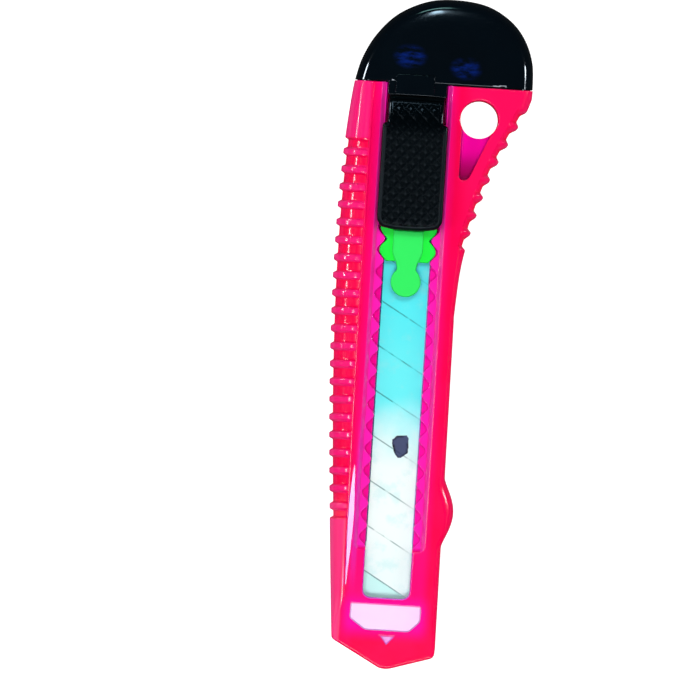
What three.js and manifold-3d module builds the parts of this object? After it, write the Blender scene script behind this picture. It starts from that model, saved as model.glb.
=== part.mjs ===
// Snap-off utility knife for an 18 mm blade, lying on its back with the slider on top.
// Millimetres. While the pieces are drawn, x runs across the knife from the blade's middle
// line to the belly side, y runs from the tip of the nose to the top of the end cap, and
// z is up from the back. The finished knife is then moved so that the middle of its
// footprint is at the origin.
import * as THREE from 'three';
import { mergeVertices } from 'three/addons/utils/BufferGeometryUtils.js';
import Module from 'manifold-3d';

const wasm = await Module();
wasm.setup();

// ---- driving dimensions ----------------------------------------------------------------
const GAP = 0.3;                 // clearance between pieces that touch
const FAR = 60;                  // longer than any cut has to be

const KNIFE_LENGTH = 160.2;
const SPINE_SIDE = -17.45;       // widest point of the spine side
const BELLY_SIDE = 27.4;         // widest point of the belly side
const BODY_HEIGHT = 11;
const CAP_JOINT = 139.6;         // where the handle ends and the cap begins
const SPINE_ROUND = 5;           // rounding of the palm side
const BELLY_ROUND = 1.6;
const CAP_ROUND = 3;

const BLADE_WIDTH = 18;
const BLADE_LENGTH = 100;
const BLADE_THICKNESS = 0.5;
const BLADE_POINT = 3.95;        // y of the point with the blade drawn in
const BLADE_BOTTOM = 6.75;
const SEGMENT_PITCH = 10.75;
const SEGMENT_COUNT = 8;
const SCORE_ANGLE = Math.PI / 6;
const EDGE_GRIND = 1.8;          // width of the ground cutting edge

const CLICK_PITCH = 5.27;        // from one tooth of the rails to the next
const FIRST_CLICK = 31.2;
const CLICK_COUNT = 15;
const SLOT_HALF_WIDTH = 5.55;    // at the teeth
const NOTCH_HALF_WIDTH = 7.25;   // between the teeth
const SLOT_FRONT = 16.9;
const LEDGE_HALF_WIDTH = 5.4;    // straight ledges under the teeth hold the blade down
const LEDGE_TOP = 8.2;
const GROOVE_HALF_WIDTH = 9.4;
const GROOVE_BOTTOM = 6.4;
const GROOVE_TOP = 7.6;
const CAVITY_HALF_WIDTH = 7.6;
const CAVITY_BOTTOM = 2;
const CAVITY_FRONT = 18;
const RAIL_TOP = 9.8;
const LIP_HALF_WIDTH = 8.4;
const LIP_FRONT = 28.5;

const HOLE_X = 15.1;
const HOLE_Y = 132;
const HOLE_RADIUS = 4.5;
const POCKET_DEPTH = 3.2;

const SPINE_GROOVES = 21;
const SPINE_GROOVE_PITCH = 4.24;
const SPINE_GROOVE_FIRST = 35.8; // middle of the groove nearest the nose
const SPINE_GROOVE_WIDTH = 2.6;
const SPINE_GROOVE_DEPTH = 0.9;
const BELLY_NOTCHES = 8;         // between nine crests
const BELLY_NOTCH_FIRST = 100.5; // crest nearest the nose
const BELLY_NOTCH_PITCH = 4.3;
const BELLY_NOTCH_DEPTH = 1.1;
const CREST_HALF_WIDTH = 0.35;

const SLIDER_FRONT = 104.5;
const SLIDER_REAR = 136.3;
const SLIDER_HALF_WIDTH = 7.8;
const SLIDER_REAR_HALF_WIDTH = 6.65;
const SLIDER_STEP = 129.7;       // y where the slider narrows
const SLIDER_CROWN = 14.5;
const KNURL_PITCH = 2.8;
const KNURL_ROW = 1.45;
const KNURL_HEIGHT = 0.6;

const LOBE_GAP = 0.4;            // between the lock's lobes and the rails
const LOCK_FRONT = FIRST_CLICK + 12.5 * CLICK_PITCH;
const PEG_Y = 92.3;
const PEG_RADIUS = 2;
const DISC_RADIUS = 3.6;

// ---- materials -------------------------------------------------------------------------
function plastic(color, roughness) {
  return new THREE.MeshStandardMaterial({ color, roughness, metalness: 0 });
}

const handlePlastic = plastic(0xff0a50, 0.3);
const capPlastic = plastic(0x05080c, 0.18);
const sliderPlastic = plastic(0x06080a, 0.5);
const lockPlastic = plastic(0x33f562, 0.35);
const bladeSteel = new THREE.MeshStandardMaterial({
  color: 0xb9dfe2,
  roughness: 0.3,
  metalness: 1,
});

// ---- solids ----------------------------------------------------------------------------
function solid(geometry) {
  const bare = geometry.clone();
  bare.deleteAttribute('normal');
  bare.deleteAttribute('uv');
  const merged = mergeVertices(bare, 1e-5);
  const mesh = new wasm.Mesh({
    numProp: 3,
    vertProperties: new Float32Array(merged.attributes.position.array),
    triVerts: new Uint32Array(merged.index.array),
  });
  return new wasm.Manifold(mesh);
}

function box(x0, x1, y0, y1, z0, z1) {
  const geometry = new THREE.BoxGeometry(x1 - x0, y1 - y0, z1 - z0);
  geometry.translate((x0 + x1) / 2, (y0 + y1) / 2, (z0 + z1) / 2);
  return solid(geometry);
}

// A plan is a list of [x, y] corners or a THREE.Shape.
function prism(plan, z0, z1) {
  const shape = plan instanceof THREE.Shape ? plan : shapeOf(plan);
  const geometry = new THREE.ExtrudeGeometry(shape, {
    depth: z1 - z0,
    bevelEnabled: false,
    curveSegments: 8,
  });
  geometry.translate(0, 0, z0);
  return solid(geometry);
}

// A slab whose upper and lower edges are rounded inside its plan.
function roundedSlab(plan, z0, z1, round, steps, inset = 0) {
  const rise = Math.min(round, (z1 - z0) / 2 - 0.1);
  const shape = plan instanceof THREE.Shape ? plan : shapeOf(plan);
  const geometry = new THREE.ExtrudeGeometry(shape, {
    depth: z1 - z0 - 2 * rise,
    bevelEnabled: true,
    bevelThickness: rise,
    bevelSize: round,
    bevelOffset: -round - inset,
    bevelSegments: steps,
    curveSegments: 8,
  });
  geometry.translate(0, 0, z0 + rise);
  return solid(geometry);
}

function cylinder(x, y, radius, z0, z1, sides = 40) {
  const geometry = new THREE.CylinderGeometry(radius, radius, z1 - z0, sides);
  geometry.rotateX(Math.PI / 2);
  geometry.translate(x, y, (z0 + z1) / 2);
  return solid(geometry);
}

function join(first, ...others) {
  return others.reduce((whole, piece) => whole.add(piece), first);
}

function cut(first, ...others) {
  return others.reduce((whole, piece) => whole.subtract(piece), first);
}

// ---- outlines --------------------------------------------------------------------------
function vectors(points) {
  return points.map(([x, y]) => new THREE.Vector2(x, y));
}

function shapeOf(points) {
  return new THREE.Shape(vectors(points));
}

function smooth(points, steps) {
  return new THREE.SplineCurve(vectors(points)).getPoints(steps).map((p) => [p.x, p.y]);
}

function mirrored(points) {
  return points.map(([x, y]) => [-x, y]).reverse();
}

// The spine side, from the nose to the cap.
function spineEdge() {
  const bends = [
    [-12.4, 7.2], [-13.4, 20], [-14.3, 32], [-15.6, 50], [-16.65, 68], [-17.3, 86],
    [SPINE_SIDE, 101], [-17.2, 114], [-16.6, 125], [-15.8, 134], [-15.1, CAP_JOINT],
  ];
  return smooth(bends, 30);
}

// The finger stop on the belly side stands out by this much at y.
function fingerStop(y) {
  const middle = 38;
  const halfLength = 8.3;
  const height = 2.5;
  const along = (y - middle) / halfLength;
  return Math.abs(along) < 1 ? height * (1 - along * along) ** 1.5 : 0;
}

// The belly side, from the nose to the cap, without its notches.
function bellyEdge() {
  const straight = [];
  for (let y = 4.5; y < 80; y += 1.5) {
    straight.push([12.4 - 0.005 * y + fingerStop(y), y]);
  }
  const flare = [
    [12, 84], [12.9, 96], [14.8, 105], [18.5, 117.5], [22.3, 126.3], [25.4, 132.5],
    [27, 136.5], [BELLY_SIDE, CAP_JOINT],
  ];
  return [...straight, ...smooth(flare, 28)];
}

// Where the belly's notches meet its outline: the crest at y.
function bellyCrest(y, edge) {
  const next = edge.findIndex((point) => point[1] > y);
  const [x0, y0] = edge[next - 1];
  const [x1, y1] = edge[next];
  const x = x0 + ((x1 - x0) * (y - y0)) / (y1 - y0);
  return new THREE.Vector2(x, y);
}

function handlePlan() {
  const belly = bellyEdge();
  const spine = spineEdge();
  const shape = new THREE.Shape();
  shape.moveTo(-0.9, 0.3);
  shape.quadraticCurveTo(0.6, -0.275, 2.4, 0.25);
  shape.lineTo(11.2, 2.95);
  shape.quadraticCurveTo(12.4, 3.3, 12.4, 4.5);
  belly.slice(1).forEach(([x, y]) => shape.lineTo(x, y));
  spine.slice().reverse().forEach(([x, y]) => shape.lineTo(x, y));
  shape.quadraticCurveTo(-12.2, 6.4, -11.2, 5.9);
  shape.closePath();
  return shape;
}

function capDome() {
  const bends = [
    [BELLY_SIDE, CAP_JOINT], [27, 146], [24.9, 151.6], [21.2, 156], [15.4, 159.2],
    [8, KNIFE_LENGTH], [1.2, 159.4], [-5.6, 156.1], [-10.5, 151], [-13.6, 145.2],
    [-15.1, CAP_JOINT],
  ];
  return smooth(bends, 44);
}

// A stretch of the wavy edge of a rail, from y0 to y1, drawn in by clearance.
function toothedEdge(y0, y1, clearance) {
  const stepsPerTooth = 8;
  const steps = Math.round(((y1 - y0) / CLICK_PITCH) * stepsPerTooth);
  const depth = NOTCH_HALF_WIDTH - SLOT_HALF_WIDTH;
  const edge = [];
  for (let i = 0; i <= steps; i += 1) {
    const y = y0 + ((y1 - y0) * i) / steps;
    const swing = (1 + Math.cos((2 * Math.PI * (y - FIRST_CLICK)) / CLICK_PITCH)) / 2;
    edge.push([SLOT_HALF_WIDTH - clearance + depth * swing, y]);
  }
  return edge;
}

// The slot from the nose to the cap. Its sides start at x = half, follow the edge given for the
// right-hand rail, and are as wide as a notch from there on.
function slotPlan(half, edge) {
  const corner = 1.8;
  const right = [[half, SLOT_FRONT + corner], ...edge, [NOTCH_HALF_WIDTH, CAP_JOINT + FAR]];
  const shape = new THREE.Shape();
  shape.moveTo(-half + corner, SLOT_FRONT);
  shape.lineTo(half - corner, SLOT_FRONT);
  shape.quadraticCurveTo(half, SLOT_FRONT, half, SLOT_FRONT + corner);
  right.slice(1).forEach(([x, y]) => shape.lineTo(x, y));
  mirrored(right).forEach(([x, y]) => shape.lineTo(x, y));
  shape.quadraticCurveTo(-half, SLOT_FRONT, -half + corner, SLOT_FRONT);
  return shape;
}

// The slot is toothed above the ledges and straight between them.
function slot() {
  const front = FIRST_CLICK - CLICK_PITCH / 2;
  const rear = FIRST_CLICK + (CLICK_COUNT - 1) * CLICK_PITCH;
  const straight = [[LEDGE_HALF_WIDTH, rear], [NOTCH_HALF_WIDTH, rear]];
  return join(
    prism(slotPlan(LEDGE_HALF_WIDTH, straight), GROOVE_TOP - 0.5, LEDGE_TOP + 0.1),
    prism(slotPlan(SLOT_HALF_WIDTH, toothedEdge(front, rear, 0)), LEDGE_TOP, BODY_HEIGHT + 1),
  );
}

// ---- handle ----------------------------------------------------------------------------
function handleEnvelope() {
  const spine = spineEdge();
  const spinePlan = [[20, -15], [-11.8, -15], ...spine, [-15.1, 175], [20, 175]];
  const belly = bellyEdge();
  const bellyPlan = [[-25, -15], [12.4, -15], ...belly, [BELLY_SIDE, 175], [-25, 175]];
  const spineHalf = roundedSlab(spinePlan, 0, BODY_HEIGHT, SPINE_ROUND, 6)
    .intersect(box(-FAR, 0, -FAR, 3 * FAR, -1, BODY_HEIGHT + 1));
  const bellyHalf = roundedSlab(bellyPlan, 0, BODY_HEIGHT, BELLY_ROUND, 3)
    .intersect(box(0, FAR, -FAR, 3 * FAR, -1, BODY_HEIGHT + 1));
  return join(spineHalf, bellyHalf).intersect(prism(handlePlan(), -1, BODY_HEIGHT + 1));
}

// Grip grooves that run round the spine side and end on the face.
function spineGrooves() {
  const plan = [[20, -15], [-11.8, -15], ...spineEdge(), [-15.1, 175], [20, 175]];
  const floor = roundedSlab(plan, 0, BODY_HEIGHT, SPINE_ROUND, 6, SPINE_GROOVE_DEPTH);
  const slabs = [];
  for (let i = 0; i <= SPINE_GROOVES; i += 1) {
    const y = SPINE_GROOVE_FIRST + i * SPINE_GROOVE_PITCH;
    const inner = -11 + 0.5 * (1 - i / SPINE_GROOVES);
    const half = SPINE_GROOVE_WIDTH / 2;
    slabs.push(box(-FAR, inner, y - half, y + half, -1, BODY_HEIGHT + 1));
  }
  return cut(join(...slabs), floor);
}

// Slanted notches along the flared end of the belly side.
function bellyNotches() {
  const edge = bellyEdge();
  const tools = [];
  for (let i = 0; i < BELLY_NOTCHES; i += 1) {
    const y = BELLY_NOTCH_FIRST + i * BELLY_NOTCH_PITCH;
    const low = bellyCrest(y + CREST_HALF_WIDTH, edge);
    const high = bellyCrest(y + BELLY_NOTCH_PITCH - CREST_HALF_WIDTH, edge);
    const along = high.clone().sub(low);
    const inward = new THREE.Vector2(-along.y, along.x).normalize();
    const point = (part, depth) =>
      low.clone().addScaledVector(along, part).addScaledVector(inward, depth).toArray();
    tools.push(prism([
      point(0, -2), point(1, -2), point(1, 0),
      point(0.6, BELLY_NOTCH_DEPTH), point(0.2, BELLY_NOTCH_DEPTH), point(0, 0),
    ], -1, BODY_HEIGHT + 1));
  }
  return join(...tools);
}

// The bevelled mouth of the channel above the rails.
function channelMouth() {
  const outer = LIP_HALF_WIDTH + 1;
  const section = [
    [-NOTCH_HALF_WIDTH - 0.1, RAIL_TOP], [NOTCH_HALF_WIDTH + 0.1, RAIL_TOP],
    [LIP_HALF_WIDTH, BODY_HEIGHT], [outer, BODY_HEIGHT + 1], [-outer, BODY_HEIGHT + 1],
    [-LIP_HALF_WIDTH, BODY_HEIGHT],
  ];
  const length = CAP_JOINT + 10 - LIP_FRONT;
  const geometry = new THREE.ExtrudeGeometry(shapeOf(section), {
    depth: length,
    bevelEnabled: false,
  });
  geometry.rotateX(Math.PI / 2);
  geometry.translate(0, LIP_FRONT + length, 0);
  return solid(geometry);
}

function lanyardPocket() {
  const plan = [
    [10.9, HOLE_Y], [10.9, 118.6], [11.6, 117.5], [12.9, 117.5], [13.7, 118.6],
    [18.2, 128.5], [18.2, HOLE_Y],
  ];
  return prism(plan, BODY_HEIGHT - POCKET_DEPTH, BODY_HEIGHT + 1);
}

// A shallow panel and a small arrowhead that points to the blade's way out.
function nosePanel() {
  const depth = 0.35;
  const plate = [[-8.4, 15.3], [-8.4, 11.6], [-4.6, 9], [6, 9], [8.6, 11.6], [8.6, 15.3]];
  const arrow = [[-1.3, 8], [0.8, 5.6], [2.9, 8]];
  const bottom = BODY_HEIGHT - depth;
  return join(prism(plate, bottom, BODY_HEIGHT + 1), prism(arrow, bottom, BODY_HEIGHT + 1));
}

function handle() {
  const rear = CAP_JOINT + FAR;
  const nose = -10;
  return cut(
    handleEnvelope(),
    spineGrooves(),
    bellyNotches(),
    channelMouth(),
    slot(),
    box(-GROOVE_HALF_WIDTH, GROOVE_HALF_WIDTH, nose, rear, GROOVE_BOTTOM, GROOVE_TOP),
    box(-CAVITY_HALF_WIDTH, CAVITY_HALF_WIDTH, CAVITY_FRONT, rear, CAVITY_BOTTOM, GROOVE_TOP),
    cylinder(HOLE_X, HOLE_Y, HOLE_RADIUS, -1, BODY_HEIGHT + 1),
    lanyardPocket(),
    nosePanel(),
  );
}

// ---- end cap ---------------------------------------------------------------------------
function endCap() {
  const dome = capDome();
  const skirt = CAP_JOINT - 20;
  const plan = [[BELLY_SIDE, skirt], ...dome, [-15.1, skirt]];
  const shell = cut(
    roundedSlab(plan, 0, BODY_HEIGHT, CAP_ROUND, 5),
    box(-FAR, FAR, 0, CAP_JOINT + GAP, -1, BODY_HEIGHT + 1),
  );
  const inside = CAP_JOINT + 3;
  const tongueFront = SLIDER_REAR + GAP;
  const tongue = box(-7, 7, tongueFront, inside, RAIL_TOP + GAP, BODY_HEIGHT);
  const pad = roundedSlab(
    [[-5.3, tongueFront + 0.2], [4, tongueFront + 0.2], [4, 141.6], [-5.3, 141.6]],
    BODY_HEIGHT - 0.8, BODY_HEIGHT + 0.7, 0.3, 1,
  );
  const plugHalf = NOTCH_HALF_WIDTH - GAP;
  const plug = box(-plugHalf, plugHalf, 126, inside, CAVITY_BOTTOM + GAP, RAIL_TOP - 0.1);
  const neck = box(-plugHalf, plugHalf, 137.5, inside, RAIL_TOP - 0.2, RAIL_TOP + 0.5);
  return join(shell, tongue, pad, plug, neck);
}

// ---- slider ----------------------------------------------------------------------------
function sliderPlan() {
  const corner = 2.6;
  const shape = new THREE.Shape();
  shape.moveTo(-SLIDER_HALF_WIDTH + corner, SLIDER_FRONT + 0.35);
  shape.quadraticCurveTo(0, SLIDER_FRONT - 0.35, SLIDER_HALF_WIDTH - corner, SLIDER_FRONT + 0.35);
  shape.quadraticCurveTo(SLIDER_HALF_WIDTH, SLIDER_FRONT + 0.5, SLIDER_HALF_WIDTH, SLIDER_FRONT + 3.4);
  shape.lineTo(SLIDER_HALF_WIDTH, SLIDER_STEP);
  shape.lineTo(SLIDER_REAR_HALF_WIDTH, SLIDER_STEP + 0.6);
  shape.lineTo(SLIDER_REAR_HALF_WIDTH, SLIDER_REAR);
  shape.lineTo(-SLIDER_REAR_HALF_WIDTH, SLIDER_REAR);
  shape.lineTo(-SLIDER_REAR_HALF_WIDTH, SLIDER_STEP + 0.6);
  shape.lineTo(-SLIDER_HALF_WIDTH, SLIDER_STEP);
  shape.lineTo(-SLIDER_HALF_WIDTH, SLIDER_FRONT + 3.4);
  shape.quadraticCurveTo(
    -SLIDER_HALF_WIDTH, SLIDER_FRONT + 0.5, -SLIDER_HALF_WIDTH + corner, SLIDER_FRONT + 0.35,
  );
  return shape;
}

// Staggered rows of four-sided points.
function knurl() {
  const points = [];
  const first = SLIDER_FRONT + 2.6;
  const rows = Math.floor((SLIDER_REAR - 2 - first) / KNURL_ROW);
  for (let row = 0; row <= rows; row += 1) {
    const y = first + row * KNURL_ROW;
    const half = y < SLIDER_STEP ? SLIDER_HALF_WIDTH - 1.3 : SLIDER_REAR_HALF_WIDTH - 1;
    const offset = row % 2 ? KNURL_PITCH / 2 : 0;
    for (let column = -3; column <= 3; column += 1) {
      const x = column * KNURL_PITCH + offset;
      if (Math.abs(x) <= half) {
        const geometry = new THREE.ConeGeometry(1.15, KNURL_HEIGHT + 0.2, 4);
        geometry.rotateX(Math.PI / 2);
        geometry.translate(x, y, SLIDER_CROWN + KNURL_HEIGHT / 2 - 0.1);
        points.push(solid(geometry));
      }
    }
  }
  return join(...points);
}

function sliderButton() {
  const skirtBottom = RAIL_TOP + GAP;
  const flangeBottom = BODY_HEIGHT + GAP;
  const skirt = box(-6.8, 6.8, SLIDER_FRONT + 2, SLIDER_REAR - 0.5, skirtBottom, flangeBottom + 0.5);
  const crown = roundedSlab(sliderPlan(), flangeBottom, SLIDER_CROWN, 0.8, 3);
  const socket = box(-3.3, 3.3, 112 - GAP, 118 + GAP, skirtBottom - 1, 12.4 + GAP);
  return cut(join(skirt, crown, knurl()), socket);
}

// ---- blade lock ------------------------------------------------------------------------
// The springy part of the lock: its two pairs of lobes sit in the notches of the rails.
function lobePlan() {
  const rear = LOCK_FRONT + 2 * CLICK_PITCH;
  const right = [[0, LOCK_FRONT], ...toothedEdge(LOCK_FRONT, rear, LOBE_GAP), [0, rear]];
  return [...right, ...mirrored(right).slice(1, -1)];
}

function bladeLock() {
  const bottom = BLADE_BOTTOM + BLADE_THICKNESS + GAP;
  const plateTop = RAIL_TOP - 0.4;
  const half = LEDGE_HALF_WIDTH - LOBE_GAP;
  const plate = join(
    box(-half, half, LOCK_FRONT, 123, bottom, plateTop),
    prism(lobePlan(), LEDGE_TOP + GAP, plateTop),
  );
  const discTop = RAIL_TOP + 0.1;
  const tongue = [
    [-2.3, 94], [2.3, 94], [2.4, 95.6], [3.4, 97.6], [3.6, 99], [3.6, 104], [-3.6, 104],
    [-3.6, 99], [-3.4, 97.6], [-2.4, 95.6],
  ];
  const disc = cylinder(0, PEG_Y, DISC_RADIUS, bottom, discTop);
  const peg = cylinder(0, PEG_Y, PEG_RADIUS, BLADE_BOTTOM - 1.6, bottom + 0.5, 32);
  const rib = prism(tongue.filter(([, y]) => y > 95), bottom + 0.2, RAIL_TOP + 0.5);
  const neck = prism(tongue, bottom, discTop);
  const stud = box(-3, 3, 112, 118, plateTop - 0.5, 12.4);
  return join(plate, disc, peg, neck, rib, stud);
}

// ---- blade -----------------------------------------------------------------------------
function scoreLine(index) {
  const rise = BLADE_WIDTH * Math.tan(SCORE_ANGLE);
  const size = 0.28;
  const geometry = new THREE.BoxGeometry(BLADE_WIDTH + 8, size, size);
  geometry.rotateX(Math.PI / 4);
  geometry.rotateZ(-SCORE_ANGLE);
  const y = BLADE_POINT + rise / 2 + index * SEGMENT_PITCH;
  geometry.translate(0, y, BLADE_BOTTOM + BLADE_THICKNESS + 0.06);
  return solid(geometry);
}

// Removes one side of the ground edge along the belly side of the blade.
function grind(side) {
  const half = BLADE_WIDTH / 2;
  const middle = BLADE_THICKNESS / 2;
  const flat = 0.05;
  const section = [
    [half - EDGE_GRIND, side * middle], [half + 0.5, side * flat], [half + 0.5, side * 2],
    [half - EDGE_GRIND, side * 2],
  ];
  const ordered = side > 0 ? section : section.slice().reverse();
  const geometry = new THREE.ExtrudeGeometry(shapeOf(ordered), {
    depth: 3 * FAR,
    bevelEnabled: false,
  });
  geometry.rotateX(Math.PI / 2);
  geometry.translate(0, 2.5 * FAR, BLADE_BOTTOM + middle);
  return solid(geometry);
}

function blade() {
  const half = BLADE_WIDTH / 2;
  const rise = BLADE_WIDTH * Math.tan(SCORE_ANGLE);
  const rear = BLADE_POINT + BLADE_LENGTH;
  const plan = [
    [half, BLADE_POINT], [half, rear - 1], [half - 1, rear], [-half + 1, rear],
    [-half, rear - 1], [-half, BLADE_POINT + rise],
  ];
  const scores = [];
  for (let i = 1; i < SEGMENT_COUNT; i += 1) {
    scores.push(scoreLine(i));
  }
  return cut(
    prism(plan, BLADE_BOTTOM, BLADE_BOTTOM + BLADE_THICKNESS),
    cylinder(0, PEG_Y, PEG_RADIUS + GAP, 0, BODY_HEIGHT, 32),
    grind(1),
    grind(-1),
    ...scores,
  );
}

// ---- the knife -------------------------------------------------------------------------
function part(name, shape, material) {
  const { vertProperties, triVerts } = shape.getMesh();
  const geometry = new THREE.BufferGeometry();
  geometry.setAttribute('position', new THREE.BufferAttribute(vertProperties, 3));
  geometry.setIndex(new THREE.BufferAttribute(triVerts, 1));
  geometry.computeVertexNormals();
  const mesh = new THREE.Mesh(geometry, material);
  mesh.name = name;
  return mesh;
}

const drawn = new THREE.Group();
drawn.add(
  part('handle', handle(), handlePlastic),
  part('end_cap', endCap(), capPlastic),
  part('slider_button', sliderButton(), sliderPlastic),
  part('blade_lock', bladeLock(), lockPlastic),
  part('blade', blade(), bladeSteel),
);
drawn.position.set(-(SPINE_SIDE + BELLY_SIDE) / 2, -KNIFE_LENGTH / 2, 0);

const knife = new THREE.Group();
knife.add(drawn);

export default knife;
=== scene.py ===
"""Snap-off utility knife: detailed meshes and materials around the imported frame.

Shapes are drawn in millimetres in the knife's own coordinates: x runs across the knife from the
blade's middle line to the belly side, y from the tip of the nose to the end cap, z up from the back.
deliver() turns them into the frame's metres.
"""

import contextlib
import math

import bmesh
import bpy
from mathutils import Matrix, Vector


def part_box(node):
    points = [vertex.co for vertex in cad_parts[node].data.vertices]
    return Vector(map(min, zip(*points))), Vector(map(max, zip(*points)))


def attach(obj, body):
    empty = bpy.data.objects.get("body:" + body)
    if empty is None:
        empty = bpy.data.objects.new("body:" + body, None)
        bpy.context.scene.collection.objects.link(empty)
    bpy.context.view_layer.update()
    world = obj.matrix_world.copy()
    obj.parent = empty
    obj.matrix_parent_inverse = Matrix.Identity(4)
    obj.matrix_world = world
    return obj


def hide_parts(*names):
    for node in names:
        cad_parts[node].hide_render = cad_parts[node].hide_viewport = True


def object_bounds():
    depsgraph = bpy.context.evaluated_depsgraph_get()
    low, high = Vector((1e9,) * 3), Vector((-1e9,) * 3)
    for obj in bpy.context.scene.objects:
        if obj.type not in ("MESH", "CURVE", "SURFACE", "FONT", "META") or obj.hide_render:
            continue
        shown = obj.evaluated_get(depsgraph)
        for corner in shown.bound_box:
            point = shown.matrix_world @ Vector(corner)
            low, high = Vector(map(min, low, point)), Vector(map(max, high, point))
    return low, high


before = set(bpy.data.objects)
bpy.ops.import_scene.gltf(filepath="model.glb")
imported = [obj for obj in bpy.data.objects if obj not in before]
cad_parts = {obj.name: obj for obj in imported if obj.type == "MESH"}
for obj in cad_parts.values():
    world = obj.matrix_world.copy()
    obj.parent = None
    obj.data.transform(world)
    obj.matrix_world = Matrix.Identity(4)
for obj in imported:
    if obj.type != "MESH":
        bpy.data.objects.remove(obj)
cad_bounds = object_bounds()

# ---- where the frame is -----------------------------------------------------------------------
MM = 0.001
HANDLE_LOW, HANDLE_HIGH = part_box("handle")
CAP_LOW, CAP_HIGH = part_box("end_cap")
SLIDER_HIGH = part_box("slider_button")[1]
LOCK_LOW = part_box("blade_lock")[0]
BLADE_LOW, BLADE_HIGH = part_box("blade")
AXIS_X = (BLADE_LOW[0] + BLADE_HIGH[0]) / 2
NOSE_Y = HANDLE_LOW[1]
TO_FRAME = Matrix.Translation((AXIS_X, NOSE_Y, 0)) @ Matrix.Diagonal((MM, MM, MM, 1))


def across(x):
    """A place in the frame as millimetres across the knife."""
    return (x - AXIS_X) / MM


def along(y):
    """A place in the frame as millimetres from the nose."""
    return (y - NOSE_Y) / MM


# ---- driving dimensions, mm --------------------------------------------------------------------
GAP = 0.3
INSIDE = 0.01                        # how far the rounded outside stays within the CAD solids
BODY_TOP = HANDLE_HIGH[2] / MM
CAP_JOINT = along(HANDLE_HIGH[1])
KNIFE_END = along(CAP_HIGH[1]) - INSIDE
BELLY_SIDE = across(HANDLE_HIGH[0])
SPINE_SIDE = across(HANDLE_LOW[0]) + INSIDE
REAR = CAP_JOINT + 14                # where outlines that are cut off later end
CLEAR = BODY_TOP + 1                 # above the face, for cuts that start there

RAIL_TOP = 9.8
GROOVE_BOTTOM = 6.4
GROOVE_TOP = 7.6
GROOVE_HALF = 9.4
CAVITY_HALF = 7.6
CAVITY_BOTTOM = 2
CAVITY_FRONT = 18
SLOT_HALF = 5.55
NOTCH_HALF = 7.25
SLOT_FRONT = 16.9
LEDGE_HALF = 5.4                     # straight ledges under the teeth, beside the blade
LEDGE_TOP = 8.2
LEDGE_CHAMFER = 0.35
REAR_HALF = NOTCH_HALF - LEDGE_CHAMFER   # of the opening behind the ledges
CLICK_PITCH = 5.27
FIRST_CLICK = 31.2
LAST_CLICK = FIRST_CLICK + 14 * CLICK_PITCH
MOUTH_HALF = 8.4
MOUTH_FRONT = 28.2

RIB_PITCH = 4.24
FIRST_RIB = 37.9                     # crest nearest the nose
RIB_COUNT = 21
RIB_DEPTH = 0.9
SMOOTH_UNTIL = 35.0                  # the spine side is plain up to here
SMOOTH_FROM = 126.0                  # and from here
NOTCH_PITCH = 4.3
FIRST_NOTCH = 100.5
NOTCH_COUNT = 8
NOTCH_DEPTH = 1.1

PANEL_SLOPE = 0.11
HOLE = Vector((15.1, 132.0))
HOLE_RADIUS = 4.5

SLIDER_FRONT = 104.5
SLIDER_REAR = along(SLIDER_HIGH[1])
SLIDER_HALF = 7.8
SLIDER_REAR_HALF = 6.65
SLIDER_STEP = 129.7
SLIDER_CROWN = 14.5
KNURL_TOP = SLIDER_HIGH[2] / MM - INSIDE
KNURL_PITCH = 2.8
KNURL_ROW = 1.45

BLADE_HALF = (BLADE_HIGH[0] - BLADE_LOW[0]) / 2 / MM
BLADE_POINT = along(BLADE_LOW[1])
BLADE_REAR = along(BLADE_HIGH[1])
BLADE_BOTTOM = BLADE_LOW[2] / MM
BLADE_TOP = BLADE_HIGH[2] / MM
SCORE_ANGLE = math.radians(30)
SEGMENT_PITCH = 10.75
SEGMENT_COUNT = 8
PEG_Y = 92.3
PEG_RADIUS = 2
DISC_RADIUS = 3.6


# ---- curves ------------------------------------------------------------------------------------
def smoothstep(low, high, value):
    t = min(1, max(0, (value - low) / (high - low)))
    return t * t * (3 - 2 * t)


def spline(points, steps):
    """A curve through the points, with this many steps between each pair."""
    result = []
    for i in range(len(points) - 1):
        p0 = Vector(points[max(i - 1, 0)])
        p1 = Vector(points[i])
        p2 = Vector(points[i + 1])
        p3 = Vector(points[min(i + 2, len(points) - 1)])
        for k in range(steps):
            t = k / steps
            bend = (2 * p1 + (p2 - p0) * t + (2 * p0 - 5 * p1 + 4 * p2 - p3) * t * t
                    + (3 * p1 - p0 - 3 * p2 + p3) * t ** 3)
            result.append(bend / 2)
    result.append(Vector(points[-1]))
    return result


def edge_function(points):
    """x as a function of y along a smooth edge."""
    curve = spline(points, 16)

    def x_at(y):
        for a, b in zip(curve, curve[1:]):
            if y <= b.y:
                return a.x + (b.x - a.x) * (y - a.y) / (b.y - a.y)
        return curve[-1].x

    return x_at


def steps_between(start, end, step):
    count = max(1, round(abs(end - start) / step))
    return [start + (end - start) * k / count for k in range(count)]


def quadratic(a, b, c, steps):
    """A round corner from a to c, drawn towards b."""
    a, b, c = Vector(a), Vector(b), Vector(c)
    ts = [k / steps for k in range(steps + 1)]
    return [a * (1 - t) ** 2 + b * 2 * t * (1 - t) + c * t * t for t in ts]


def rounded_polygon(corners, radius, steps=5):
    """Corners with round ends; radius is one number or one for each corner."""
    radii = radius if isinstance(radius, (list, tuple)) else [radius] * len(corners)
    points = []
    for i, here in enumerate(corners):
        here = Vector(here)
        back = (Vector(corners[i - 1]) - here).normalized()
        ahead = (Vector(corners[(i + 1) % len(corners)]) - here).normalized()
        if radii[i] <= 0:
            points.append(here)
        else:
            reach = radii[i]
            points += quadratic(here + back * reach, here, here + ahead * reach, steps)
    return points


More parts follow.
